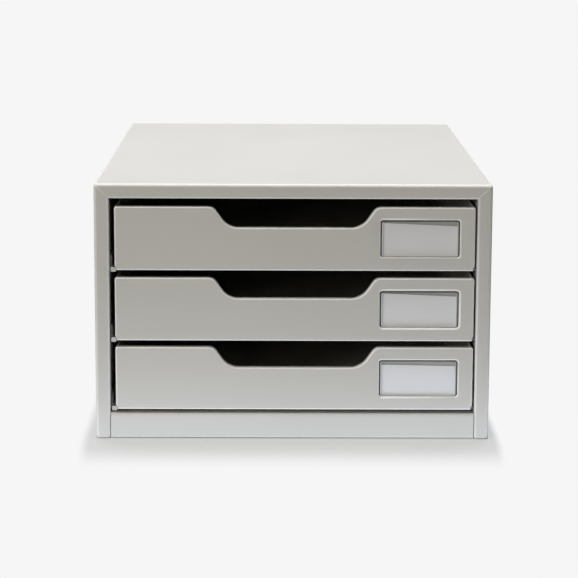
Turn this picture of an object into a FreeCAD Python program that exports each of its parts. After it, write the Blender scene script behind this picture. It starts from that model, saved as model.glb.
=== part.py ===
import FreeCAD, Part
import math
import os

# Desk cabinet of folded sheet steel with three drawers, in millimetres.
# +Z is up, the drawers open towards -Y, and +X is to the right of someone who faces them.
# The origin is the centre of the case's footprint, on the surface that its feet stand on.

Vector = FreeCAD.Vector

# ---- Case ----
case_width = 277.0
case_depth = 400.0
case_sheet = 1.0
case_edge = 2.5            # outer radius of the edges between top, sides, front and rear
case_bend = 2.0            # outer radius of the case's other folds
post_width = 10.3
header_height = 10.3
return_depth = 12.0        # how far posts and header are folded back into the opening
mitre_angle = 45.0
bead_width = 1.4           # the dressed weld along each mitre
bead_height = 0.25
bead_run = 0.7             # how far a bead runs past the flat face, over the folds at its ends
rear_flange = 10.0
skirt_clearance = 0.4      # gap between the skirt and the surface below
seam = 0.1                 # paint and weld gap between sheets that lie on each other
cut_margin = 1.0           # cutting shapes run this far past what they cut

# ---- Inner sheets, bottom and plinth ----
inner_sheet = 0.8
inner_bend = 1.5
base_flange = 10.0
plinth_height = 18.2
plinth_flange = 20.0
plinth_end_gap = 0.25
foot_radius = 7.0
foot_inset = 13.0          # from the base's edge to a foot's rim

# ---- Drawers, from the bottom up ----
drawer_names = ("lower", "middle", "upper")
front_height = 44.8
gap_below = {"lower": 2.6, "middle": 4.6, "upper": 5.2}
header_gap = 5.7
side_play = 5.2            # width of the opening less the width of a front
drawer_shift = 1.2         # the drawers sit this far right of centre in that play
drawer_recess = 0.5
drawer_travel = 280.0
drawer_sheet = 0.7
front_bend = 1.4
front_flange = 5.5
front_corner = 1.6
notch_width = 1.2          # at each lower corner of a front
notch_height = 1.9
notch_slope = 1.6
pan_bend = 1.5
hem_height = 6.0
hem_chamfer = 0.4          # stands for the bead along a hem's top
corner_relief = 0.5

# ---- Finger scoop ----
scoop_floor = 79.0
scoop_depth = 14.6
scoop_flank = math.radians(55.0)
scoop_lip_radius = 7.0
scoop_floor_radius = 13.6

# ---- Label window and what stands behind it ----
window_width = 55.4
window_height = 26.2
window_corner = 2.0
window_to_side = 10.6
window_to_bottom = 9.6
bevel_width = 1.3
bevel_depth = 1.3
# between the cover's raised face and the window's rim
cover_slit = {"side": 1.1, "top": 1.4, "bottom": 0.4}
cover_corner = 1.2
cover_sheet = 0.6
cover_face_depth = 1.0     # from the front's face to the cover's raised face
cover_chamfer = 0.4
cover_lap = 1.3            # the cover's flange behind the rim
card_thickness = 0.3
card_play = 0.4            # the card is this much narrower, at each side, than the raised face
pocket_sheet = 0.5
pocket_depth = 1.4         # from the rim's rear edge to the pocket's back
pocket_clearance = 0.4
pocket_lap = 3.2           # the pocket reaches this far under the window
pocket_rise = 2.0          # and this far over it
pocket_ear = 3.0
# how far a card's top edge lies below the window's top, at its left and right ends
card_drop = {"lower": (3.7, 4.6), "middle": (2.1, 4.3), "upper": (2.3, 4.5)}

# ---- Rails and stops ----
rail_sheet = 1.0
rail_bend = 2.0
rail_width = 15.0
rail_wall = 9.0
rail_lead = 0.6            # gap between a front's flange and a rail
tongue_width = 3.5         # the left-hand rails reach forward with a tongue that ends in a lip
tongue_gap = 0.8           # between the tongue and the post's return
tongue_set_back = 3.5      # from the case's face to the lip
lip_height = 3.1
lip_rise = 1.6             # of the lip's top over the bottom of its drawer's front
rail_chamfer = 3.0
slide_clearance = 0.1
stop_clearance = 0.3
stop_tab_width = 7.0
stop_tab_length = 8.0
stop_tab_from_lead = 4.0
rear_stop_width = 10.0
rear_stop_overlap = 4.0
rail_end_gap = 1.0
lug_width = 4.0
lug_drop = 2.8
lug_root = 4.0
lug_side_gap = 2.0

# ---- Levels and faces that follow from them ----
half_width = case_width / 2
half_depth = case_depth / 2
front_y = -half_depth
opening_half = half_width - post_width
skirt_z = skirt_clearance
plinth_top = skirt_z + plinth_height
front_bottom = {}
level = plinth_top
for drawer in drawer_names:
    level += gap_below[drawer]
    front_bottom[drawer] = level
    level += front_height
opening_top = level + header_gap
case_top = opening_top + header_height

base_z = skirt_z + case_sheet + seam
back_y = half_depth - case_sheet - seam
base_rear = back_y - inner_sheet - seam
liner_front = front_y + return_depth + seam
liner_rear = base_rear - inner_bend - seam
inner_half = half_width - case_sheet - seam
fold_reach = 2 * case_bend

face_y = front_y + drawer_recess
front_left = -opening_half + side_play / 2 + drawer_shift
front_right = opening_half - side_play / 2 + drawer_shift
front_middle = (front_left + front_right) / 2
flange_end = face_y + front_flange

rail_half = opening_half - seam
rail_inner = rail_half - rail_width
rail_rear = liner_rear - rail_end_gap
rail_lead_y = flange_end + rail_lead
tab_front = rail_lead_y + stop_tab_from_lead
tab_rear = tab_front + stop_tab_length

pan_left = front_left + drawer_sheet + seam
pan_right = front_right - drawer_sheet - seam
pan_front = face_y + front_bend + seam
pan_rear = rail_rear - rail_sheet - stop_clearance

cover_front = face_y + drawer_sheet + bevel_depth + seam
card_front = cover_front + cover_sheet + seam


# ---- Outlines and folded sections ----

def box(x, y, z):
    """A box between two values along each axis."""
    corner = Vector(x[0], y[0], z[0])
    return Part.makeBox(x[1] - x[0], y[1] - y[0], z[1] - z[0], corner)


def mirrored(shape):
    """The left-hand twin of a right-hand shape."""
    return shape.mirror(Vector(0, 0, 0), Vector(1, 0, 0))


def fused(first, *others):
    """One clean solid from shapes that share material."""
    result = first
    for other in others:
        result = result.fuse(other)
    return result.removeSplitter()


def directions(before, here, after):
    """Unit vectors into and out of a corner."""
    arriving = Vector(here[0] - before[0], here[1] - before[1], 0).normalize()
    leaving = Vector(after[0] - here[0], after[1] - here[1], 0).normalize()
    return arriving, leaving


def corner_points(before, here, after):
    """Start, middle and end of the arc that rounds a corner, or the bare corner."""
    corner = Vector(here[0], here[1], 0)
    radius = here[2]
    if radius <= 0:
        return [corner]
    arriving, leaving = directions(before, here, after)
    turn = arriving.getAngle(leaving)
    reach = radius * math.tan(turn / 2)
    start = corner - arriving * reach
    end = corner + leaving * reach
    inward = (leaving - arriving).normalize()
    middle = corner + inward * (radius / math.cos(turn / 2) - radius)
    return [start, middle, end]


def closed_wire(points, place):
    """A wire through (u, v, corner radius) points, set in space by place(u, v)."""
    count = len(points)
    corners = []
    for index in range(count):
        corners.append(corner_points(points[index - 1], points[index], points[(index + 1) % count]))
    edges = []
    for index in range(count):
        here = corners[index]
        following = corners[(index + 1) % count]
        if len(here) == 3:
            edges.append(Part.Arc(*[place(p.x, p.y) for p in here]).toShape())
        if (following[0] - here[-1]).Length > 1e-6:
            ends = (here[-1], following[0])
            edges.append(Part.LineSegment(*[place(p.x, p.y) for p in ends]).toShape())
    return Part.Wire(edges)


def prism(points, plane, start, end):
    """Points in the XY, XZ or YZ plane, extruded along the third axis from start to end."""
    if plane == "XY":
        place = lambda u, v: Vector(u, v, start)
        along = Vector(0, 0, end - start)
    elif plane == "XZ":
        place = lambda u, v: Vector(u, start, v)
        along = Vector(0, end - start, 0)
    else:
        place = lambda u, v: Vector(start, u, v)
        along = Vector(end - start, 0, 0)
    return Part.Face(closed_wire(points, place)).extrude(along)


def offset_points(points, distance, is_closed):
    """Points moved to the left of their path, with every corner radius kept concentric."""
    moved = []
    count = len(points)
    for index, here in enumerate(points):
        before = points[index - 1] if index > 0 or is_closed else None
        after = points[(index + 1) % count] if index < count - 1 or is_closed else None
        if before is None or after is None:
            ends = (here, after) if before is None else (before, here)
            along = Vector(ends[1][0] - ends[0][0], ends[1][1] - ends[0][1], 0).normalize()
            moved.append((here[0] - along.y * distance, here[1] + along.x * distance, 0))
            continue
        arriving, leaving = directions(before, here, after)
        left_in = Vector(-arriving.y, arriving.x, 0)
        left_out = Vector(-leaving.y, leaving.x, 0)
        shift = (left_in + left_out) * (distance / (1 + left_in.dot(left_out)))
        turns_left = arriving.x * leaving.y - arriving.y * leaving.x > 0
        radius = here[2] - distance if turns_left else here[2] + distance
        if here[2] <= 0:
            radius = 0
        moved.append((here[0] + shift.x, here[1] + shift.y, radius))
    return moved


def folded(path, sheet):
    """The section of a folded sheet: a path along one face, with its metal to the left."""
    return path + offset_points(path, sheet, False)[::-1]


def inner_chamfer(radius):
    """The leg of the chamfer that stands for a fold's small inner radius."""
    return radius * (2 - math.sqrt(2))


def rounded_rectangle(x, z, radius):
    """Corner points, anticlockwise as seen from the front."""
    return [(x[0], z[0], radius), (x[1], z[0], radius), (x[1], z[1], radius), (x[0], z[1], radius)]


# ---- Case ----

def plain_block(inset, floor_z):
    """The case's outer block, or the same block set in by a sheet, and its edges above the floor."""
    block = box(
        (-half_width + inset, half_width - inset),
        (-half_depth + inset, half_depth - inset),
        (floor_z, case_top - inset),
    )
    return block, [edge for edge in block.Edges if edge.BoundBox.ZMax > floor_z + case_top / 2]


def mitre_bead():
    """The dressed weld along the right-hand mitre, a low ridge over both sheets."""
    side = bead_width / 2
    root = front_y + case_sheet / 2
    section = [
        (root, -side, 0),
        (front_y, -side, 0),
        (front_y - bead_height, 0, 0),
        (front_y, side, 0),
        (root, side, 0),
    ]
    slant = math.cos(math.radians(mitre_angle))
    start = (case_bend - bead_run) / slant
    end = (min(post_width, header_height) - case_edge + bead_run) / slant
    bead = prism(section, "YZ", start, end)
    bead.rotate(Vector(0, 0, 0), Vector(0, 1, 0), -mitre_angle)
    bead.translate(Vector(opening_half, 0, opening_top))
    return bead


def post_return():
    """The right-hand post's inner fold and return, cut to the mitre at its top."""
    path = [
        (opening_half + fold_reach, front_y, 0),
        (opening_half, front_y, case_bend),
        (opening_half, front_y + return_depth, 0),
    ]
    strip = prism(folded(path, -case_sheet), "XY", skirt_z, opening_top + fold_reach)
    above = [
        (opening_half - fold_reach, opening_top - fold_reach, 0),
        (opening_half + 2 * fold_reach, opening_top + 2 * fold_reach, 0),
        (opening_half - fold_reach, opening_top + 2 * fold_reach, 0),
    ]
    return strip.cut(prism(above, "XZ", front_y - cut_margin, front_y + return_depth + cut_margin))


def header_return():
    """The header's lower fold and return, cut to both mitres."""
    path = [
        (front_y, opening_top + fold_reach, 0),
        (front_y, opening_top, case_bend),
        (front_y + return_depth, opening_top, 0),
    ]
    reach = opening_half + fold_reach
    strip = prism(folded(path, case_sheet), "YZ", -reach, reach)
    below = [
        (opening_half - fold_reach, opening_top - fold_reach, 0),
        (opening_half + 2 * fold_reach, opening_top - fold_reach, 0),
        (opening_half + 2 * fold_reach, opening_top + 2 * fold_reach, 0),
    ]
    wedge = prism(below, "XZ", front_y - cut_margin, front_y + return_depth + cut_margin)
    return strip.cut(wedge).cut(mirrored(wedge))


def case_shell():
    """Top and sides in one sheet, the mitred front frame with its returns, and rear flanges."""
    block, edges = plain_block(0, skirt_z)
    hollow, hollow_edges = plain_block(case_sheet, skirt_z - cut_margin)
    hollow = hollow.makeChamfer(inner_chamfer(case_edge - case_sheet), hollow_edges)
    shell = block.makeFillet(case_edge, edges).cut(hollow)
    opening = box(
        (-opening_half - case_bend, opening_half + case_bend),
        (front_y - cut_margin, front_y + case_bend),
        (skirt_z - cut_margin, opening_top + case_bend),
    )
    rear_opening = box(
        (-half_width + rear_flange, half_width - rear_flange),
        (half_depth - case_bend, half_depth + cut_margin),
        (skirt_z - cut_margin, case_top - rear_flange),
    )
    shell = shell.cut(opening).cut(rear_opening)
    post = post_return()
    bead = mitre_bead()
    return fused(shell, post, mirrored(post), header_return(), bead, mirrored(bead))


def side_liner():
    """The right-hand inner side sheet, flanged outwards under the top and over the base."""
    edge = inner_half - case_edge + case_sheet
    top = case_top - case_sheet - seam
    bottom = base_z + inner_sheet + seam
    path = [
        (edge - inner_sheet - seam, bottom, 0),
        (opening_half, bottom, inner_bend),
        (opening_half, top, inner_bend),
        (edge, top, 0),
    ]
    return prism(folded(path, -inner_sheet), "XZ", liner_front, liner_rear)


def folded_tray(x, y, floor_z, height, sheet, bend):
    """A bottom with its two sides and its back folded up, slit at the two rear corners."""
    section = [
        (x[0], floor_z + height, 0),
        (x[0], floor_z, bend),
        (x[1], floor_z, bend),
        (x[1], floor_z + height, 0),
    ]
    trough = prism(folded(section, sheet), "XZ", y[0], y[1] - bend)
    rear_path = [
        (y[1] - 2 * bend, floor_z, 0),
        (y[1], floor_z, bend),
        (y[1], floor_z + height, 0),
    ]
    relief = bend + corner_relief
    rear = prism(folded(rear_path, sheet), "YZ", x[0] + relief, x[1] - relief)
    wings = box((x[0], x[1]), (y[1] - sheet, y[1]), (floor_z + relief, floor_z + height))
    return fused(trough, rear, wings)


def base_panel():
    """The bottom sheet, standing on the plinth's lower flange in front."""
    return folded_tray(
        (-inner_half, inner_half), (liner_front, base_rear),
        base_z, base_flange, inner_sheet, inner_bend,
    )


def back_panel():
    """The flat rear sheet, welded inside the rear flanges."""
    bottom = skirt_z
    top = case_top - case_edge - seam
    edge = half_width - case_edge - seam
    return box((-edge, edge), (back_y - inner_sheet, back_y), (bottom, top))


def plinth():
    """The front rail under the drawers, a channel that is open towards the rear."""
    path = [
        (front_y + plinth_flange, plinth_top, 0),
        (front_y, plinth_top, case_bend),
        (front_y, skirt_z, case_bend),
        (front_y + plinth_flange, skirt_z, 0),
    ]
    reach = opening_half - plinth_end_gap
    return prism(folded(path, case_sheet), "YZ", -reach, reach)


def foot(x, y):
    """A rubber pad under the base."""
    return Part.makeCylinder(foot_radius, base_z, Vector(x, y, 0))


# ---- Rails ----

def rail(name):
    """A right-hand angle rail with a chamfered front end, a stop tab and a turned-up rear end."""
    top = front_bottom[name] + drawer_sheet + seam - slide_clearance
    under = top - rail_sheet
    section = [(rail_inner, under, 0), (rail_half, under, rail_bend), (rail_half, under + rail_wall, 0)]
    angle = prism(folded(section, rail_sheet), "XZ", liner_front, rail_rear - rail_bend)
    plan = [
        (rail_half, rail_lead_y, 0),
        (rail_inner + rail_chamfer, rail_lead_y, 0),
        (rail_inner, rail_lead_y + rail_chamfer, 0),
        (rail_inner, liner_front, 0),
        (rail_half, liner_front, 0),
    ]
    lead_in = prism(plan, "XY", under, top)
    tab = box((rail_inner - stop_tab_width, rail_inner + rail_sheet), (tab_front, tab_rear), (under, top))
    end_path = [
        (rail_rear - rear_stop_overlap, under, 0),
        (rail_rear, under, 0),
        (rail_rear, under + rail_wall, 0),
    ]
    rear_stop = prism(folded(end_path, rail_sheet), "YZ", rail_inner, rail_inner + rear_stop_width)
    return fused(angle, lead_in, tab, rear_stop)


def left_rail(name):
    """The left-hand twin of a rail, with the tongue and lip that stand beside its drawer's front."""
    top = front_bottom[name] + drawer_sheet + seam - slide_clearance
    across = (-rail_half + tongue_gap, -rail_half + tongue_gap + tongue_width)
    lip_y = front_y + tongue_set_back
    lip_top = front_bottom[name] + lip_rise
    tongue = box(across, (lip_y, rail_lead_y + rail_chamfer), (top - rail_sheet, top))
    lip = box(across, (lip_y, lip_y + rail_sheet), (lip_top - lip_height, lip_top))
    return fused(mirrored(rail(name)), tongue, lip)


# ---- Drawers ----

def front_outline(bottom):
    """The drawer front's outline, rounded and scooped along its top, anticlockwise."""
    top = bottom + front_height
    floor_corner = scoop_floor / 2 + scoop_floor_radius * math.tan(scoop_flank / 2)
    lip_corner = floor_corner + scoop_depth / math.tan(scoop_flank)
    return [
        (front_left, bottom, 0),
        (front_right, bottom, 0),
        (front_right, top, front_corner),
        (front_middle + lip_corner, top, scoop_lip_radius),
        (front_middle + floor_corner, top - scoop_depth, scoop_floor_radius),
        (front_middle - floor_corner, top - scoop_depth, scoop_floor_radius),
        (front_middle - lip_corner, top, scoop_lip_radius),
        (front_left, top, front_corner),
    ]


def pressed(outline, near, far):
    """A block from near to far, and the edges around its near face."""
    block = prism(outline, "XZ", near, far)
    return block, [edge for edge in block.Edges if edge.BoundBox.YMax < (near + far) / 2]


def tapered(near_outline, near, far_outline, far):
    """A solid that narrows from one outline to another."""
    near_wire = closed_wire(near_outline, lambda u, v: Vector(u, near, v))
    far_wire = closed_wire(far_outline, lambda u, v: Vector(u, far, v))
    return Part.makeLoft([near_wire, far_wire], True, True)


def window_edges(bottom):
    """Left, right, lower and upper edges of the label window's opening."""
    right = front_right - window_to_side
    low = bottom + window_to_bottom
    return (right - window_width, right), (low, low + window_height)


def window_rim(bottom):
    """The dished rim of the label window, and the whole cut that it stands in."""
    across, up = window_edges(bottom)
    inner = rounded_rectangle(across, up, window_corner)
    outer = offset_points(inner, -bevel_width, True)
    square = rounded_rectangle(across, up, 0)
    back = face_y + drawer_sheet
    dish = tapered(outer, face_y, inner, face_y + bevel_depth)
    rear = tapered(offset_points(square, -bevel_width, True), back, square, back + bevel_depth)
    metal = prism(outer, "XZ", face_y, back).fuse(rear)
    hole = prism(inner, "XZ", face_y + bevel_depth / 2, back + bevel_depth + cut_margin)
    cut = prism(outer, "XZ", face_y - cut_margin, back + cut_margin)
    return metal.cut(dish).cut(hole), cut


def corner_notch(bottom):
    """What is cut from a front's lower right corner; its left twin clears a rail's tongue."""
    points = [
        (front_right + cut_margin, bottom - cut_margin, 0),
        (front_right + cut_margin, bottom + notch_height + notch_slope, 0),
        (front_right, bottom + notch_height + notch_slope, 0),
        (front_right - notch_width, bottom + notch_height, 0),
        (front_right - notch_width, bottom - cut_margin, 0),
    ]
    return prism(points, "XZ", face_y - cut_margin, flange_end + cut_margin)


def drawer_front(bottom):
    """The stamped front: flanged all round, scooped, dished at the window and notched below."""
    outline = front_outline(bottom)
    skin, rim_edges = pressed(outline, face_y, flange_end)
    skin = skin.makeFillet(front_bend, rim_edges)
    inside = offset_points(outline, drawer_sheet, True)
    hollow, hollow_edges = pressed(inside, face_y + drawer_sheet, flange_end + cut_margin)
    hollow = hollow.makeChamfer(inner_chamfer(front_bend - drawer_sheet), hollow_edges)
    rim, cut = window_rim(bottom)
    front = fused(skin.cut(hollow).cut(cut), rim)
    right_notch = corner_notch(bottom)
    left_notch = mirrored(right_notch)
    left_notch.translate(Vector(2 * front_middle, 0, 0))
    return front.cut(right_notch).cut(left_notch)


def hem(first, second, top, plane, start, end):
    """The closed hem along a wall's top edge, two sheets thick with an eased top."""
    points = [
        (first, top - hem_height, 0),
        (second, top - hem_height, 0),
        (second, top - hem_chamfer, 0),
        (second - hem_chamfer, top, 0),
        (first + hem_chamfer, top, 0),
        (first, top - hem_chamfer, 0),
    ]
    return prism(points, plane, start, end)


def stop_lug(x, bottom):
    """A lug that is lanced out of a pan's bottom and bent down, and the hole that it leaves."""
    front = tab_rear + drawer_travel + stop_clearance
    floor_top = bottom + drawer_sheet
    path = [
        (front, bottom - lug_drop, 0),
        (front, floor_top, 0),
        (front + lug_root, floor_top, 0),
    ]
    lug = prism(folded(path, -drawer_sheet), "YZ", x, x + lug_width)
    through = (bottom - cut_margin, floor_top + cut_margin)
    hole = box((x, x + lug_width), (front - lug_root, front + drawer_sheet), through)
    return lug, hole


def drawer_pan(bottom):
    """The drawer's bottom, sides and back, hemmed along the top, with two stop lugs below."""
    floor_z = bottom + drawer_sheet + seam
    top = bottom + front_height
    height = top - hem_height / 2 - floor_z
    pan = folded_tray((pan_left, pan_right), (pan_front, pan_rear), floor_z, height, drawer_sheet, pan_bend)
    pan = fused(
        pan,
        hem(pan_left, pan_left + 2 * drawer_sheet, top, "XZ", pan_front, pan_rear - pan_bend),
        hem(pan_right - 2 * drawer_sheet, pan_right, top, "XZ", pan_front, pan_rear - pan_bend),
        hem(pan_rear - 2 * drawer_sheet, pan_rear, top, "YZ", pan_left, pan_right),
    )
    # the walls pass inside the front's flange, so their front corners follow its inner face
    zone = (pan_front - cut_margin, flange_end + seam)
    inside = prism(offset_points(front_outline(bottom), drawer_sheet + seam, True), "XZ", *zone)
    middle_z = bottom + front_height / 2
    around = box((front_left, front_right), zone, (middle_z, top + cut_margin)).cut(inside)
    pan = pan.cut(around)
    lug_out = rail_inner - lug_side_gap - lug_width
    for x in (front_middle + lug_out, front_middle - lug_out - lug_width):
        lug, hole = stop_lug(x, floor_z)
        pan = fused(pan.cut(hole), lug)
    return pan


# ---- Label pocket, cover and card ----

def pocket_frame(bottom):
    """Shared places of a label's pieces: pocket sides, lip top and pocket back."""
    across, up = window_edges(bottom)
    left = across[0] - bevel_width - pocket_clearance
    right = across[1] + bevel_width + pocket_clearance
    lip_top = up[0] - pocket_lap + pocket_sheet
    back = face_y + drawer_sheet + bevel_depth + pocket_depth
    return left, right, lip_top, back


def label_pocket(bottom):
    """A hat-section pocket welded behind the window, open at the top, closed by a lip below."""
    up = window_edges(bottom)[1]
    left, right, lip_top, back = pocket_frame(bottom)
    ear_y = face_y + drawer_sheet + seam
    path = [
        (left - pocket_ear, ear_y, 0),
        (left, ear_y, 0),
        (left, back, 0),
        (right, back, 0),
        (right, ear_y, 0),
        (right + pocket_ear, ear_y, 0),
    ]
    hat = prism(folded(path, pocket_sheet), "XY", lip_top - pocket_sheet, up[1] + pocket_rise)
    lip = box((left, right), (ear_y, back + pocket_sheet), (lip_top - pocket_sheet, lip_top))
    return fused(hat, lip)


def raised_edges(bottom):
    """Left, right, lower and upper edges of the cover's raised face."""
    across, up = window_edges(bottom)
    side = cover_slit["side"]
    return (across[0] + side, across[1] - side), (up[0] + cover_slit["bottom"], up[1] - cover_slit["top"])


def label_cover(bottom):
    """The clear cover: a flange behind the rim and a raised face that stands in the window."""
    across, up = window_edges(bottom)
    lip_top = pocket_frame(bottom)[2]
    flange = box(
        (across[0] - cover_lap, across[1] + cover_lap),
        (cover_front, cover_front + cover_sheet),
        (lip_top + seam, up[1] + cover_lap),
    )
    face = rounded_rectangle(*raised_edges(bottom), cover_corner)
    raised, edges = pressed(face, face_y + cover_face_depth, cover_front + cover_sheet / 2)
    return fused(flange, raised.makeChamfer(cover_chamfer, edges))


def label_card(name, bottom):
    """The paper card behind the cover, its top edge as uneven as a hand-cut card's."""
    window_top = window_edges(bottom)[1][1]
    lip_top = pocket_frame(bottom)[2]
    left, right = raised_edges(bottom)[0]
    left_drop, right_drop = card_drop[name]
    outline = [
        (left + card_play, lip_top + seam, 0),
        (right - card_play, lip_top + seam, 0),
        (right - card_play, window_top - right_drop, 0),
        (left + card_play, window_top - left_drop, 0),
    ]
    return prism(outline, "XZ", card_front, card_front + card_thickness)


# ---- Every node ----

nodes = {
    "case_shell": case_shell(),
    "back_panel": back_panel(),
    "base_panel": base_panel(),
    "plinth": plinth(),
}
liner = side_liner()
nodes["side_liner_right"] = liner
nodes["side_liner_left"] = mirrored(liner)

foot_x = inner_half - foot_inset - foot_radius
foot_y = {
    "front": front_y + plinth_flange + foot_inset + foot_radius,
    "rear": base_rear - foot_inset - foot_radius,
}
for end in ("front", "rear"):
    nodes["foot_" + end + "_left"] = foot(-foot_x, foot_y[end])
    nodes["foot_" + end + "_right"] = foot(foot_x, foot_y[end])

for drawer in drawer_names:
    drawer_bottom = front_bottom[drawer]
    nodes["rail_" + drawer + "_right"] = rail(drawer)
    nodes["rail_" + drawer + "_left"] = left_rail(drawer)
    nodes["drawer_" + drawer + "_front"] = drawer_front(drawer_bottom)
    nodes["drawer_" + drawer + "_pan"] = drawer_pan(drawer_bottom)
    nodes["drawer_" + drawer + "_label_pocket"] = label_pocket(drawer_bottom)
    nodes["drawer_" + drawer + "_label_cover"] = label_cover(drawer_bottom)
    nodes["drawer_" + drawer + "_label_card"] = label_card(drawer, drawer_bottom)

os.makedirs("parts", exist_ok=True)
for name, shape in nodes.items():
    shape.exportStep("parts/" + name + ".step")
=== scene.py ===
import math

import bpy
from mathutils import Euler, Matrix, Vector


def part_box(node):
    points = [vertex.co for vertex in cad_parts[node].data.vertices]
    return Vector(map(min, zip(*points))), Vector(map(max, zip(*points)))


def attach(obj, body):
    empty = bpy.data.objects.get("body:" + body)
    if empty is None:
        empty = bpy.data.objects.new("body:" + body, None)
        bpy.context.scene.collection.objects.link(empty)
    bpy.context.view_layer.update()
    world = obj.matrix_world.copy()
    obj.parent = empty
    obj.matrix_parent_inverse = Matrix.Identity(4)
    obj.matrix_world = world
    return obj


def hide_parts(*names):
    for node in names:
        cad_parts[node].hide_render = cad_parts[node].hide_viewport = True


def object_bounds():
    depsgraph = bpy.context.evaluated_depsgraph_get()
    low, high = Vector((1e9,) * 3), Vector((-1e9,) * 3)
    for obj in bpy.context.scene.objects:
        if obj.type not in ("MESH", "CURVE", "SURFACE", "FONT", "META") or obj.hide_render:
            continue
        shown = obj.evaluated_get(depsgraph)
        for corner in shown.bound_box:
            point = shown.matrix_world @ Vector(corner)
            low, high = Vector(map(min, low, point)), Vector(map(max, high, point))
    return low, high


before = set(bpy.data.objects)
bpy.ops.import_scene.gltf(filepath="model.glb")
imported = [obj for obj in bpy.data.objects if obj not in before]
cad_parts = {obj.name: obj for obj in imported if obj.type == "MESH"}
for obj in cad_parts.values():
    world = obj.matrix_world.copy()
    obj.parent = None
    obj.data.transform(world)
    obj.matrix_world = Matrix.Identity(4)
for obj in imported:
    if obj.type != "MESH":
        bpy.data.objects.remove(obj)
cad_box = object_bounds()

# Lengths are in metres. -Y is the front of the cabinet, +X its right-hand side as one faces it.
DRAWERS = ("lower", "middle", "upper")
TINY = 1e-5
MERGE_DISTANCE = 1e-6
FLAT_ANGLE = math.radians(0.5)

# Label covers and feet
COVER_SHEET = 0.0006
COVER_SIDE_BORDER = 0.0024
COVER_TOP_BORDER = 0.0027
COVER_FACE_HEIGHT = 0.0244
COVER_FIRST_INSET = 0.001
COVER_CORNER = 0.0012
COVER_EDGE_ROUND = 0.0007
FOOT_RIM = 0.002
FOOT_DISH = 0.0004
FOOT_ROUND = 0.0004

# Paints, each with the shade that it drifts to
LIGHT_GREY = (0.67, 0.655, 0.62, 1)
LIGHT_GREY_SHADE = (0.655, 0.64, 0.605, 1)
# The label pockets are painted darker than the case; this darker grey is painted shade for the pockets'
# insides seen through the covers
POCKET_GREY = (0.52, 0.51, 0.48, 1)
POCKET_GREY_SHADE = (0.50, 0.49, 0.46, 1)
# Colour of the painted highlight along the folds
FOLD_HIGHLIGHT_PAINT = (0.95, 0.945, 0.93, 1)

# The largest part of a surface's normal, where the sheet counts as flat and as fully bent
FLAT_SHEET = 0.995
FULL_BEND = 0.90
# The upward part of a normal, where a fold starts to face up and where it fully does
LEVEL_FOLD = 0.15
UPPER_FOLD = 0.50

# Floor: what lights see of it, what is seen of it near the cabinet, and how far its shadow shows
FLOOR_BOUNCE = (0.30, 0.30, 0.30, 1)
FLOOR_SHADE = (0.225, 0.225, 0.225, 1)
FLOOR_GLOW = (0.453, 0.453, 0.453, 1)
BACKGROUND = (0.922, 0.922, 0.922, 1)
SHADOW_LEFT = 0.012
SHADOW_RIGHT = 0.010
SHADOW_FRONT = 0.086
SHADOW_BACK = 0.050
SHADOW_CORE = 0.28
STRIP_HEIGHT = 0.001


# ---- Camera ----

def set_camera():
    """A long lens a little above the cabinet, almost square to its fronts."""
    place = (-0.01267, -1.68902, 0.38018)
    focal_length = 135.094
    film_width = 36.0
    pitch_down = math.radians(10.3659)
    turn_right = math.radians(0.3388)
    roll = math.radians(-0.2378)
    bpy.ops.object.camera_add(location=place)
    camera = bpy.context.object
    camera.name = "camera"
    camera.rotation_euler = Euler((math.pi / 2 - pitch_down, roll, -turn_right), "XYZ")
    camera.data.lens = focal_length
    camera.data.sensor_width = film_width
    camera.data.clip_end = 50
    bpy.context.scene.camera = camera


# ---- Node helpers ----

def new_material(name):
    """A node material with its Principled shader."""
    material = bpy.data.materials.new(name)
    material.use_nodes = True
    return material, material.node_tree, material.node_tree.nodes["Principled BSDF"]


def add_group(tree, group, **values):
    """A node group placed in a material, with its own values."""
    node = tree.nodes.new("ShaderNodeGroup")
    node.node_tree = group
    for name, value in values.items():
        node.inputs[name].default_value = value
    return node


def noise_node(tree, vector, scale, detail):
    """Three-dimensional noise at so many features to the metre."""
    node = tree.nodes.new("ShaderNodeTexNoise")
    node.inputs["Scale"].default_value = scale
    node.inputs["Detail"].default_value = detail
    tree.links.new(vector, node.inputs["Vector"])
    return node.outputs["Fac"]


def map_range(tree, value, source, result, interpolation="LINEAR"):
    """A node that carries a value from one range to another."""
    node = tree.nodes.new("ShaderNodeMapRange")
    node.interpolation_type = interpolation
    node.inputs["From Min"].default_value = source[0]
    node.inputs["From Max"].default_value = source[1]
    node.inputs["To Min"].default_value = result[0]
    node.inputs["To Max"].default_value = result[1]
    tree.links.new(value, node.inputs["Value"])
    return node


def spread_noise(tree, noise, low, high):
    """Noise carried from its own range, 0 to 1, to another."""
    return map_range(tree, noise, (0, 1), (low, high)).outputs["Result"]


def maths(tree, operation, first, second):
    """Two values put together."""
    node = tree.nodes.new("ShaderNodeMath")
    node.operation = operation
    tree.links.new(first, node.inputs[0])
    tree.links.new(second, node.inputs[1])
    return node.outputs["Value"]


def mix_colours(tree, factor, first, second):
    """Two linked colours mixed."""
    node = tree.nodes.new("ShaderNodeMix")
    node.data_type = "RGBA"
    tree.links.new(factor, node.inputs["Factor"])
    tree.links.new(first, node.inputs["A"])
    tree.links.new(second, node.inputs["B"])
    return node.outputs["Result"]


def object_place(tree):
    """Places in a piece's own frame, which move with it."""
    return tree.nodes.new("ShaderNodeTexCoord").outputs["Object"]


# ---- Shared effects ----

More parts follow.
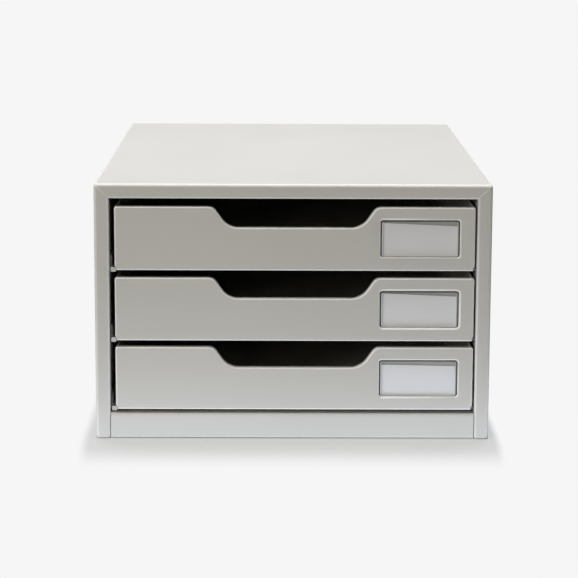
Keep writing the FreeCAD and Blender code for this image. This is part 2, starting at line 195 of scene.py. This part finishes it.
def powder_coat_group():
    """Fine orange peel, slightly uneven tone and sheen, and a painted highlight: lighter paint along the
    folds.

    Polish is how much lighter the folds are painted, as a painted highlight, and Upper the share of it that
    folds facing up keep.
    Sheen is the roughness of the flat sheet, and Dull that of the folds.
    """
    group = bpy.data.node_groups.new("powder_coat", "ShaderNodeTree")
    sockets = (
        ("INPUT", "NodeSocketColor", ("Paint", "Shade", "Bend")),
        ("INPUT", "NodeSocketFloat", ("Polish", "Sheen", "Dull", "Upper")),
        ("OUTPUT", "NodeSocketColor", ("Color",)),
        ("OUTPUT", "NodeSocketFloat", ("Roughness", "Peel")),
    )
    for side, kind, names in sockets:
        for name in names:
            group.interface.new_socket(name, in_out=side, socket_type=kind)
    inside = group.nodes.new("NodeGroupInput").outputs
    outside = group.nodes.new("NodeGroupOutput").inputs
    place = object_place(group)

    clouds = noise_node(group, place, scale=9, detail=3)
    spread = map_range(group, clouds, (0.35, 0.65), (0, 1)).outputs["Result"]
    tone = mix_colours(group, spread, inside["Paint"], inside["Shade"])

    # Flat sheet faces along one axis; where no part of the normal is near one, the sheet bends.
    normal = group.nodes.new("ShaderNodeTexCoord").outputs["Normal"]
    facing = group.nodes.new("ShaderNodeVectorMath")
    facing.operation = "ABSOLUTE"
    group.links.new(normal, facing.inputs[0])
    parts = group.nodes.new("ShaderNodeSeparateXYZ")
    group.links.new(facing.outputs["Vector"], parts.inputs["Vector"])
    largest = parts.outputs["X"]
    for axis in ("Y", "Z"):
        largest = maths(group, "MAXIMUM", largest, parts.outputs[axis])
    bend = map_range(group, largest, (FLAT_SHEET, FULL_BEND), (0, 1), "SMOOTHSTEP").outputs["Result"]
    # Painted highlight: folds are painted lighter, toward the fold colour, where light would catch them;
    # Upper sets how much of it folds facing up keep.
    fold_highlight = maths(group, "MULTIPLY", bend, inside["Polish"])
    signed = group.nodes.new("ShaderNodeSeparateXYZ")
    group.links.new(normal, signed.inputs["Vector"])
    upper = map_range(group, signed.outputs["Z"], (LEVEL_FOLD, UPPER_FOLD), (1, 0))
    group.links.new(inside["Upper"], upper.inputs["To Max"])
    kept_highlight = maths(group, "MULTIPLY", fold_highlight, upper.outputs["Result"])
    highlighted = mix_colours(group, kept_highlight, tone, inside["Bend"])

    grain = noise_node(group, place, scale=2600, detail=2)
    colour = group.nodes.new("ShaderNodeVectorMath")
    colour.operation = "MULTIPLY"
    group.links.new(highlighted, colour.inputs[0])
    group.links.new(spread_noise(group, grain, 0.985, 1.015), colour.inputs[1])
    group.links.new(colour.outputs["Vector"], outside["Color"])

    smears = noise_node(group, place, scale=26, detail=2)
    rough = maths(group, "ADD", spread_noise(group, smears, -0.02, 0.02), inside["Sheen"])
    dulled = group.nodes.new("ShaderNodeMix")
    group.links.new(bend, dulled.inputs["Factor"])
    group.links.new(rough, dulled.inputs["A"])
    group.links.new(inside["Dull"], dulled.inputs["B"])
    group.links.new(dulled.outputs["Result"], outside["Roughness"])

    group.links.new(noise_node(group, place, scale=700, detail=2), outside["Peel"])
    return group


# ---- Finishes ----

def painted_steel(name, paint, shade, sheen, highlight_amount, dull, upper):
    """Satin powder coat on sheet steel; polish sets how strong the painted highlight along its folds is."""
    material, tree, surface = new_material(name)
    coat = add_group(
        tree, powder_coat,
        Paint=paint, Shade=shade, Bend=FOLD_HIGHLIGHT_PAINT, Sheen=sheen, Polish=highlight_amount, Dull=dull, Upper=upper,
    )
    bump = tree.nodes.new("ShaderNodeBump")
    bump.inputs["Strength"].default_value = 0.12
    bump.inputs["Distance"].default_value = 0.0001
    tree.links.new(coat.outputs["Peel"], bump.inputs["Height"])
    tree.links.new(coat.outputs["Color"], surface.inputs["Base Color"])
    tree.links.new(coat.outputs["Roughness"], surface.inputs["Roughness"])
    tree.links.new(bump.outputs["Normal"], surface.inputs["Normal"])
    surface.inputs["Specular IOR Level"].default_value = 0.5
    return material


def clear_plastic():
    """The label covers: nearly clear on the flat, hazy where the sheet is seen edge on."""
    material, tree, surface = new_material("clear_cover_sheet")
    facing = tree.nodes.new("ShaderNodeLayerWeight")
    facing.inputs["Blend"].default_value = 0.06
    haze = map_range(tree, facing.outputs["Facing"], (0, 1), (0.01, 0.50))
    tree.links.new(haze.outputs["Result"], surface.inputs["Alpha"])
    scuffs = noise_node(tree, object_place(tree), scale=180, detail=5)
    tree.links.new(spread_noise(tree, scuffs, 0.08, 0.22), surface.inputs["Roughness"])
    surface.inputs["Base Color"].default_value = (0.86, 0.87, 0.87, 1)
    return material


def painted_edge_highlight():
    """The rounded edges of the label covers, painted near white with a faint glow: a painted highlight on
    the pressed sheet's edges.
    """
    material, tree, surface = new_material("clear_cover_edge_highlight")
    uneven = noise_node(tree, object_place(tree), scale=420, detail=3)
    tree.links.new(spread_noise(tree, uneven, 0.75, 0.95), surface.inputs["Alpha"])
    surface.inputs["Base Color"].default_value = (0.93, 0.94, 0.95, 1)
    surface.inputs["Roughness"].default_value = 0.25
    surface.inputs["Emission Color"].default_value = (0.95, 0.97, 1, 1)
    surface.inputs["Emission Strength"].default_value = 0.08
    return material


def groove_shade_paint():
    """Dark patchy paint on the covers' flanges, down in the groove round each window: painted shade in the
    slit.
    """
    material, tree, surface = new_material("cover_groove_shade_paint")
    patches = noise_node(tree, object_place(tree), scale=240, detail=4)
    tree.links.new(spread_noise(tree, patches, 0.55, 0.85), surface.inputs["Alpha"])
    surface.inputs["Base Color"].default_value = (0.10, 0.10, 0.095, 1)
    surface.inputs["Roughness"].default_value = 0.9
    return material


def plain_card():
    """Uncoated label card with a faint fibre grain."""
    material, tree, surface = new_material("label_paper")
    fibres = noise_node(tree, object_place(tree), scale=900, detail=4)
    tint = tree.nodes.new("ShaderNodeMix")
    tint.data_type = "RGBA"
    tint.inputs["A"].default_value = (0.90, 0.905, 0.93, 1)
    tint.inputs["B"].default_value = (0.93, 0.935, 0.96, 1)
    bump = tree.nodes.new("ShaderNodeBump")
    bump.inputs["Strength"].default_value = 0.2
    bump.inputs["Distance"].default_value = 0.00005
    tree.links.new(fibres, tint.inputs["Factor"])
    tree.links.new(tint.outputs["Result"], surface.inputs["Base Color"])
    tree.links.new(fibres, bump.inputs["Height"])
    tree.links.new(bump.outputs["Normal"], surface.inputs["Normal"])
    surface.inputs["Roughness"].default_value = 0.85
    return material


def foot_rubber():
    """Black rubber, dull and dusty."""
    material, tree, surface = new_material("foot_rubber")
    dust = noise_node(tree, object_place(tree), scale=350, detail=3)
    tint = tree.nodes.new("ShaderNodeMix")
    tint.data_type = "RGBA"
    tint.inputs["A"].default_value = (0.020, 0.020, 0.020, 1)
    tint.inputs["B"].default_value = (0.055, 0.053, 0.050, 1)
    tree.links.new(dust, tint.inputs["Factor"])
    tree.links.new(tint.outputs["Result"], surface.inputs["Base Color"])
    surface.inputs["Roughness"].default_value = 0.8
    return material


# ---- Pieces ----

def only(piece):
    """Makes one object the selected and active one."""
    bpy.ops.object.select_all(action="DESELECT")
    piece.select_set(True)
    bpy.context.view_layer.objects.active = piece


def finish_piece(piece, name, body, material):
    """Names a piece, gives it its finish and lets it ride on its body."""
    piece.name = name
    piece.data.name = name
    piece.data.materials.clear()
    piece.data.materials.append(material)
    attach(piece, body)


def folded_sheet(node, body, material):
    """A merged copy that stands for a sheet-metal node, so that its folds shade as smooth rounds."""
    only(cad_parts[node])
    bpy.ops.object.duplicate()
    piece = bpy.context.object
    for key in list(piece.keys()):
        del piece[key]
    piece.parent = None
    bpy.ops.object.mode_set(mode="EDIT")
    bpy.ops.mesh.select_all(action="SELECT")
    bpy.ops.mesh.remove_doubles(threshold=MERGE_DISTANCE)
    bpy.ops.mesh.dissolve_limited(angle_limit=FLAT_ANGLE)
    bpy.ops.object.mode_set(mode="OBJECT")
    bpy.ops.object.shade_smooth_by_angle(angle=math.radians(32))
    bpy.ops.object.modifier_add(type="WEIGHTED_NORMAL")
    piece.modifiers[-1].keep_sharp = True
    bpy.ops.object.modifier_apply(modifier=piece.modifiers[-1].name)
    finish_piece(piece, node + "_sheet", body, material)
    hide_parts(node)


def select_faces(piece, wanted):
    """Enters edit mode with just the faces whose centre and normal are wanted."""
    bpy.ops.object.mode_set(mode="EDIT")
    bpy.ops.mesh.select_mode(type="FACE")
    bpy.ops.mesh.select_all(action="DESELECT")
    bpy.ops.object.mode_set(mode="OBJECT")
    for face in piece.data.polygons:
        face.select = wanted(face.center, face.normal)
    bpy.ops.object.mode_set(mode="EDIT")


def select_edges(piece, wanted):
    """Enters edit mode with just the edges whose two ends are wanted."""
    bpy.ops.object.mode_set(mode="EDIT")
    bpy.ops.mesh.select_mode(type="EDGE")
    bpy.ops.mesh.select_all(action="DESELECT")
    bpy.ops.object.mode_set(mode="OBJECT")
    points = piece.data.vertices
    for edge in piece.data.edges:
        first, second = edge.vertices
        edge.select = wanted(points[first].co, points[second].co)
    bpy.ops.object.mode_set(mode="EDIT")


def settle(piece, smooth_angle):
    """Applies the piece's place to its mesh and smooths its rounds."""
    bpy.ops.object.mode_set(mode="OBJECT")
    bpy.ops.object.transform_apply(location=True, rotation=True, scale=True)
    bpy.ops.object.shade_smooth_by_angle(angle=math.radians(smooth_angle))


def label_cover(drawer):
    """A pressed clear cover: a flange behind the window's rim and a raised face with soft edges."""
    node = "drawer_" + drawer + "_label_cover"
    low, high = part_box(node)
    flange_front = high.y - COVER_SHEET
    middle = (low + high) / 2
    width = high.x - low.x
    height = high.z - low.z
    face_width = width - 2 * COVER_SIDE_BORDER
    face_middle = Vector((middle.x, flange_front, high.z - COVER_TOP_BORDER - COVER_FACE_HEIGHT / 2))

    bpy.ops.object.select_all(action="DESELECT")
    bpy.ops.mesh.primitive_cube_add(
        size=1, location=(middle.x, high.y - COVER_SHEET / 2, middle.z), scale=(width, COVER_SHEET, height)
    )
    piece = bpy.context.object
    bpy.ops.object.transform_apply(location=True, rotation=True, scale=True)
    select_faces(piece, lambda centre, normal: normal.y < -0.5)
    bpy.ops.mesh.inset(thickness=COVER_FIRST_INSET)
    bpy.ops.transform.resize(
        value=(
            face_width / (width - 2 * COVER_FIRST_INSET),
            1,
            COVER_FACE_HEIGHT / (height - 2 * COVER_FIRST_INSET),
        )
    )
    bpy.ops.transform.translate(value=(0, 0, face_middle.z - middle.z))
    bpy.ops.mesh.extrude_region_move(TRANSFORM_OT_translate={"value": (0, low.y - flange_front, 0)})

    def is_corner(first, second):
        return abs(first.y - second.y) > TINY and min(first.y, second.y) < low.y + TINY

    def is_front_edge(first, second):
        return max(first.y, second.y) < low.y + TINY

    select_edges(piece, is_corner)
    bpy.ops.mesh.bevel(offset=COVER_CORNER, segments=5)
    select_edges(piece, is_front_edge)
    bpy.ops.mesh.bevel(offset=COVER_EDGE_ROUND, segments=3)
    settle(piece, smooth_angle=50)
    finish_piece(piece, node + "_sheet", "drawer_" + drawer, cover_sheet)
    piece.data.materials.append(cover_edge_highlight)
    piece.data.materials.append(cover_groove_shade)
    # Rounds that face sideways and down: painted highlight with a faint glow
    for face in piece.data.polygons:
        is_round = low.y + TINY < face.center.y < flange_front - TINY
        is_lit = abs(face.normal.x) > 0.3 or face.normal.z < -0.3
        if is_round and is_lit:
            face.material_index = 1
        # Flange fronts: painted shade in the groove round each window
        elif abs(face.center.y - flange_front) < TINY:
            face.material_index = 2
    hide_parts(node)


def foot_pad(node):
    """A moulded rubber foot with a rounded rim and a shallow dish underneath."""
    low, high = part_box(node)
    bpy.ops.object.select_all(action="DESELECT")
    bpy.ops.mesh.primitive_cylinder_add(
        vertices=64, radius=(high.x - low.x) / 2, depth=high.z - low.z, location=(low + high) / 2
    )
    piece = bpy.context.object
    bpy.ops.object.transform_apply(location=True, rotation=True, scale=True)
    select_faces(piece, lambda centre, normal: normal.z < -0.5)
    bpy.ops.mesh.inset(thickness=FOOT_RIM)
    bpy.ops.mesh.extrude_region_move(TRANSFORM_OT_translate={"value": (0, 0, FOOT_DISH)})
    bpy.ops.mesh.inset(thickness=FOOT_DISH)

    def is_rim(first, second):
        is_bottom = max(first.z, second.z) < low.z + TINY
        return is_bottom and (first.xy - (low.xy + high.xy) / 2).length > (high.x - low.x) / 2 - FOOT_RIM / 2

    select_edges(piece, is_rim)
    bpy.ops.mesh.bevel(offset=FOOT_ROUND, segments=3)
    settle(piece, smooth_angle=40)
    finish_piece(piece, node + "_pad", "case", rubber)
    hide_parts(node)


# ---- Floor and light ----

def stage_floor():
    """A white floor that stays pale in view and still carries the cabinet's soft shadow."""
    bpy.ops.object.select_all(action="DESELECT")
    bpy.ops.mesh.primitive_plane_add(size=24, location=(0, 0, 0))
    floor = bpy.context.object
    floor.name = "floor"
    material = bpy.data.materials.new("floor_paper")
    material.use_nodes = True
    tree = material.node_tree
    tree.nodes.clear()
    out = tree.nodes.new("ShaderNodeOutputMaterial")
    bounce = tree.nodes.new("ShaderNodeBsdfDiffuse")
    bounce.inputs["Color"].default_value = FLOOR_BOUNCE
    shade = tree.nodes.new("ShaderNodeBsdfDiffuse")
    shade.inputs["Color"].default_value = FLOOR_SHADE
    glow = tree.nodes.new("ShaderNodeEmission")
    glow.inputs["Color"].default_value = FLOOR_GLOW
    near_look = tree.nodes.new("ShaderNodeAddShader")
    tree.links.new(shade.outputs[0], near_look.inputs[0])
    tree.links.new(glow.outputs[0], near_look.inputs[1])
    white = tree.nodes.new("ShaderNodeEmission")
    white.inputs["Color"].default_value = BACKGROUND

    # How far outside the cabinet's footprint a place is, in shares of each side's reach
    place = object_place(tree)
    sides = []
    for direction, reach in ((1, (SHADOW_RIGHT, SHADOW_BACK, 1)), (-1, (SHADOW_LEFT, SHADOW_FRONT, 1))):
        distance = place
        steps = (
            ("MULTIPLY", (direction, direction, 0)),
            ("SUBTRACT", (cad_box[1].x, cad_box[1].y, 0)),
            ("DIVIDE", reach),
        )
        for operation, value in steps:
            step = tree.nodes.new("ShaderNodeVectorMath")
            step.operation = operation
            step.inputs[1].default_value = value
            tree.links.new(distance, step.inputs[0])
            distance = step.outputs["Vector"]
        sides.append(distance)
    nearest = tree.nodes.new("ShaderNodeVectorMath")
    nearest.operation = "MAXIMUM"
    tree.links.new(sides[0], nearest.inputs[0])
    tree.links.new(sides[1], nearest.inputs[1])
    outside = tree.nodes.new("ShaderNodeVectorMath")
    outside.operation = "MAXIMUM"
    outside.inputs[1].default_value = (0, 0, 0)
    tree.links.new(nearest.outputs["Vector"], outside.inputs[0])
    length = tree.nodes.new("ShaderNodeVectorMath")
    length.operation = "LENGTH"
    tree.links.new(outside.outputs["Vector"], length.inputs[0])
    fade = map_range(tree, length.outputs["Value"], (SHADOW_CORE, 1), (0, 1), "SMOOTHSTEP")
    look = tree.nodes.new("ShaderNodeMixShader")
    tree.links.new(fade.outputs["Result"], look.inputs["Fac"])
    tree.links.new(near_look.outputs[0], look.inputs[1])
    tree.links.new(white.outputs[0], look.inputs[2])

    path = tree.nodes.new("ShaderNodeLightPath")
    seen = maths(tree, "MAXIMUM", path.outputs["Is Camera Ray"], path.outputs["Is Transmission Ray"])
    shown = maths(tree, "MAXIMUM", seen, path.outputs["Is Glossy Ray"])
    surface = tree.nodes.new("ShaderNodeMixShader")
    tree.links.new(shown, surface.inputs["Fac"])
    tree.links.new(bounce.outputs[0], surface.inputs[1])
    tree.links.new(look.outputs[0], surface.inputs[2])
    tree.links.new(surface.outputs[0], out.inputs["Surface"])
    floor.data.materials.append(material)


def lamp(name, place, target, width, height, watts, colour):
    """A soft box aimed at a point."""
    bpy.ops.object.light_add(type="AREA", location=place)
    light = bpy.context.object
    light.name = name
    light.data.shape = "RECTANGLE"
    light.data.size = width
    light.data.size_y = height
    light.data.energy = watts
    light.data.color = colour
    aim = Vector(target) - Vector(place)
    light.rotation_euler = aim.to_track_quat("-Z", "Y").to_euler()


def floor_strip(name, place, width, depth, watts, colour):
    """Light that the white floor throws up at the foot of the cabinet."""
    lamp(name, (*place, STRIP_HEIGHT), (*place, 1), width, depth, watts, colour)
    bpy.context.object.visible_camera = False


def set_world():
    """Surroundings that give no light, so that all of it comes from the lamps and the floor."""
    world = bpy.data.worlds.new("surroundings")
    bpy.context.scene.world = world
    world.use_nodes = True
    world.node_tree.nodes["Background"].inputs["Strength"].default_value = 0


# ---- The scene ----

bpy.context.scene.view_settings.view_transform = "Standard"
set_camera()
powder_coat = powder_coat_group()
# polish sets each paint's painted highlight on the folds, and upper how much of it folds facing up keep
case_paint = painted_steel(
    "case_paint", LIGHT_GREY, LIGHT_GREY_SHADE, sheen=0.30, highlight_amount=0.7, dull=0.75, upper=0.0
)
drawer_paint = painted_steel(
    "drawer_paint", LIGHT_GREY, LIGHT_GREY_SHADE, sheen=0.30, highlight_amount=1.0, dull=0.30, upper=1.0
)
pocket_paint = painted_steel(
    "pocket_paint", POCKET_GREY, POCKET_GREY_SHADE, sheen=0.45, highlight_amount=0.0, dull=0.45, upper=1.0
)
cover_sheet = clear_plastic()
cover_edge_highlight = painted_edge_highlight()
cover_groove_shade = groove_shade_paint()
label_paper = plain_card()
rubber = foot_rubber()

for node in ("case_shell", "back_panel", "base_panel", "plinth", "side_liner_left", "side_liner_right"):
    folded_sheet(node, "case", case_paint)
for drawer in DRAWERS:
    for side in ("left", "right"):
        folded_sheet("rail_" + drawer + "_" + side, "case", case_paint)
    folded_sheet("drawer_" + drawer + "_front", "drawer_" + drawer, drawer_paint)
    folded_sheet("drawer_" + drawer + "_pan", "drawer_" + drawer, drawer_paint)
    folded_sheet("drawer_" + drawer + "_label_pocket", "drawer_" + drawer, pocket_paint)
    label_cover(drawer)
    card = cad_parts["drawer_" + drawer + "_label_card"]
    card.data.materials.clear()
    card.data.materials.append(label_paper)
for end in ("front", "rear"):
    for side in ("left", "right"):
        foot_pad("foot_" + end + "_" + side)

stage_floor()
set_world()
lamp("top_box", (-0.35, -0.30, 1.5), (0, 0, 0.1), 1.6, 1.6, 8.64, (1, 0.96, 0.88))
lamp("overhead_box", (-0.15, -0.42, 1.7), (-0.05, -0.2, 0.1), 0.9, 0.5, 7.2, (1, 1, 1))
lamp("rear_box", (0.0, 0.25, 1.7), (0, 0, 0.1), 1.2, 0.7, 32.0, (0.93, 0.945, 1.0))
lamp("front_box", (-1.1, -1.9, 0.62), (0, -0.2, 0.1), 0.5, 0.5, 11.0, (1, 0.947, 0.82))
floor_strip("floor_strip_front", (0.0, -0.24), 0.5, 0.08, 0.148, (0.79, 0.87, 1))
